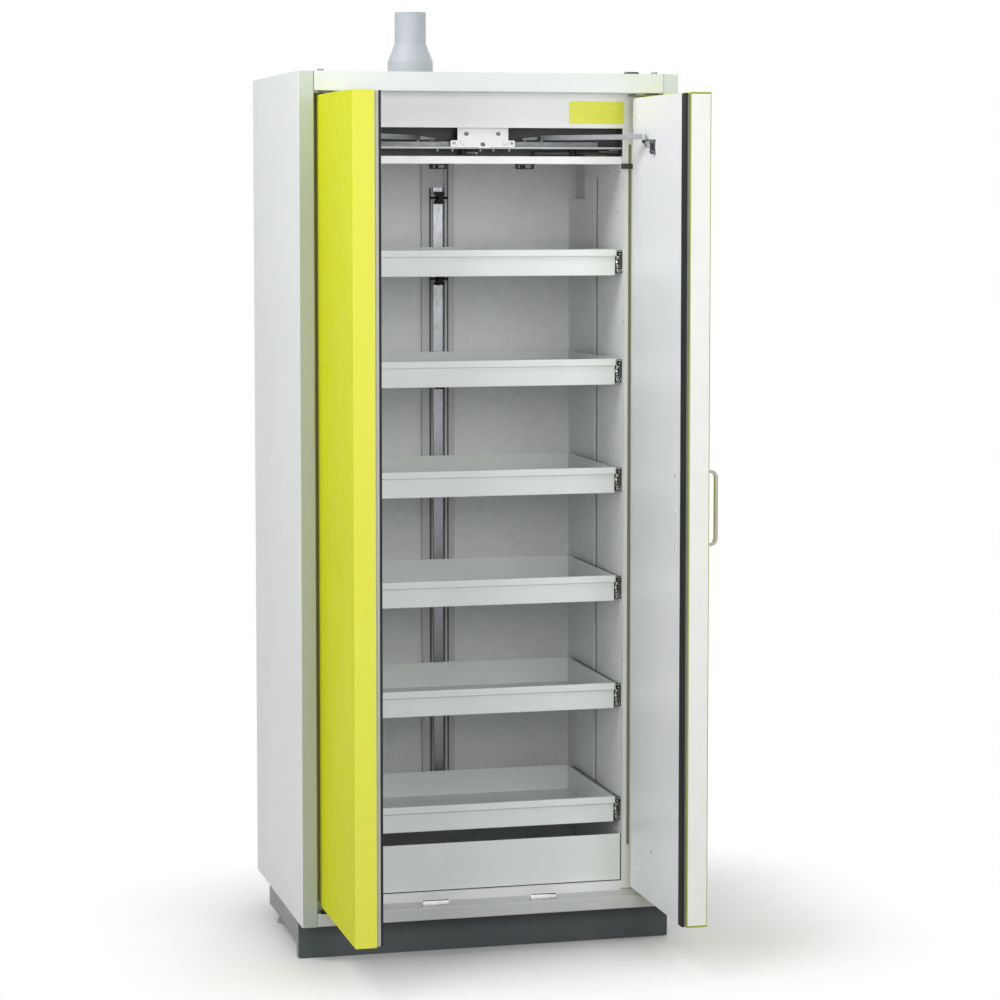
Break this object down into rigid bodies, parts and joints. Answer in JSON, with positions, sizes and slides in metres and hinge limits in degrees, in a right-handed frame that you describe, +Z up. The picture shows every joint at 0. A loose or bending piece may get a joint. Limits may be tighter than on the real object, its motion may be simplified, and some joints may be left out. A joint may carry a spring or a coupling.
{
  "type": "flammable storage cabinet",
  "caption": "Tall fire-rated storage cabinet with coupled wing doors, pull-out trays, a spill sump, a plinth and a roof vent spigot.",
  "frame": {"origin": "on the floor under the middle of the box around the whole cabinet, taken with the doors open at 90 degrees", "axes": "+Z up, -Y out of the front, +X to the right seen from the front"},
  "size_m": [0.864, 0.9722, 2.1214],
  "materials": {
    "shell_paint": "satin",
    "threshold_paint": "satin",
    "frame_paint": "satin",
    "insulation": "matte",
    "liner_board": "satin",
    "column_paint": "satin",
    "strip_paint": "satin",
    "bright_paint": "satin",
    "black_plastic": "matte",
    "zinc_steel": "satin",
    "arm_steel": "satin",
    "bright_steel": "polished",
    "seal_rubber": "matte",
    "spigot_plastic": "satin",
    "base_paint": "matte",
    "plinth_paint": "matte",
    "slide_steel": "satin",
    "runner_steel": "satin",
    "door_paint": "satin",
    "door_inner_paint": "satin",
    "edge_strip_plastic": "matte",
    "bush_brass": "satin",
    "handle_paint": "satin",
    "tray_paint": "satin"
  },
  "bodies": {
    "cabinet": {"arm_rail": "zinc_steel", "back_panel": "shell_paint", "base_frame": "base_paint", "catch_latches": "black_plastic", "centre_plate": "bright_paint", "corner_clips": "black_plastic", "door_frame": "frame_paint", "floor_panel": "threshold_paint", "frame_gaskets": "seal_rubber", "header_crossbar": "bright_paint", "header_fittings": "zinc_steel", "hinge_pins": "zinc_steel", "insulation_boards": "insulation", "levelling_feet": "black_plastic", "liner_back": "liner_board", "liner_ceiling": "liner_board", "liner_floor": "liner_board", "liner_left": "liner_board", "liner_right": "liner_board", "plinth_panel": "plinth_paint", "rear_column": "column_paint", "rear_strip": "strip_paint", "roof_plugs": "black_plastic", "side_panel_left": "shell_paint", "side_panel_right": "shell_paint", "slide_rails": "slide_steel", "striker_tabs": "bright_steel", "top_fascia": "shell_paint", "top_panel": "shell_paint", "tray_interlocks": "black_plastic", "vent_spigot": "spigot_plastic"},
    "right_door": {"door_handle": "handle_paint", "right_arm_bracket": "zinc_steel", "right_edge_strip": "edge_strip_plastic", "right_leaf_core": "insulation", "right_leaf_pan": "door_paint", "right_leaf_panel": "door_inner_paint", "right_leaf_seal": "seal_rubber", "right_pivot_bushes": "bush_brass"},
    "left_door": {"left_arm_bracket": "zinc_steel", "left_leaf_core": "insulation", "left_leaf_pan": "door_paint", "left_leaf_panel": "door_inner_paint", "left_leaf_seal": "seal_rubber", "left_pivot_bushes": "bush_brass"},
    "right_arm_link": {"right_arm": "arm_steel"},
    "left_arm_link": {"left_arm": "arm_steel"},
    "tray_1_carriage": {"tray_1": "tray_paint", "tray_1_runners": "runner_steel"},
    "tray_2_carriage": {"tray_2": "tray_paint", "tray_2_runners": "runner_steel"},
    "tray_3_carriage": {"tray_3": "tray_paint", "tray_3_runners": "runner_steel"},
    "tray_4_carriage": {"tray_4": "tray_paint", "tray_4_runners": "runner_steel"},
    "tray_5_carriage": {"tray_5": "tray_paint", "tray_5_runners": "runner_steel"},
    "tray_6_carriage": {"tray_6": "tray_paint", "tray_6_runners": "runner_steel"},
    "sump_drawer": {"sump_pan": "tray_paint"}
  },
  "joints": [
    {"name": "right_door_hinge", "type": "hinge", "parent": "cabinet", "child": "right_door", "pos_m": [0.3815, -0.1076, 1.03], "axis": [0, 0, 1], "range_deg": [-90, 0]},
    {"name": "left_door_hinge", "type": "hinge", "parent": "cabinet", "child": "left_door", "pos_m": [-0.3815, -0.1076, 1.03], "axis": [0, 0, -1], "range_deg": [-90, 0]},
    {"name": "right_arm_pivot", "type": "hinge", "parent": "right_door", "child": "right_arm_link", "pos_m": [0.323, -0.2089, 1.8335], "axis": [0, 0, 1], "range_deg": [0, 129.52]},
    {"name": "left_arm_pivot", "type": "hinge", "parent": "left_door", "child": "left_arm_link", "pos_m": [-0.323, -0.2089, 1.8335], "axis": [0, 0, -1], "range_deg": [0, 129.52]},
    {"name": "tray_1_slide", "type": "slide", "parent": "cabinet", "child": "tray_1_carriage", "axis": [0, -1, 0], "range_m": [0, 0.34]},
    {"name": "tray_2_slide", "type": "slide", "parent": "cabinet", "child": "tray_2_carriage", "axis": [0, -1, 0], "range_m": [0, 0.34]},
    {"name": "tray_3_slide", "type": "slide", "parent": "cabinet", "child": "tray_3_carriage", "axis": [0, -1, 0], "range_m": [0, 0.34]},
    {"name": "tray_4_slide", "type": "slide", "parent": "cabinet", "child": "tray_4_carriage", "axis": [0, -1, 0], "range_m": [0, 0.34]},
    {"name": "tray_5_slide", "type": "slide", "parent": "cabinet", "child": "tray_5_carriage", "axis": [0, -1, 0], "range_m": [0, 0.34]},
    {"name": "tray_6_slide", "type": "slide", "parent": "cabinet", "child": "tray_6_carriage", "axis": [0, -1, 0], "range_m": [0, 0.34]},
    {"name": "sump_slide", "type": "slide", "parent": "cabinet", "child": "sump_drawer", "axis": [0, -1, 0], "range_m": [0, 0.3]}
  ],
  "couplings": [
    {"joint": "left_door_hinge", "follows": "right_door_hinge", "ratio": 1},
    {"joint": "right_arm_pivot", "follows": "right_door_hinge", "ratio": -1.4391},
    {"joint": "left_arm_pivot", "follows": "right_door_hinge", "ratio": -1.4391}
  ]
}
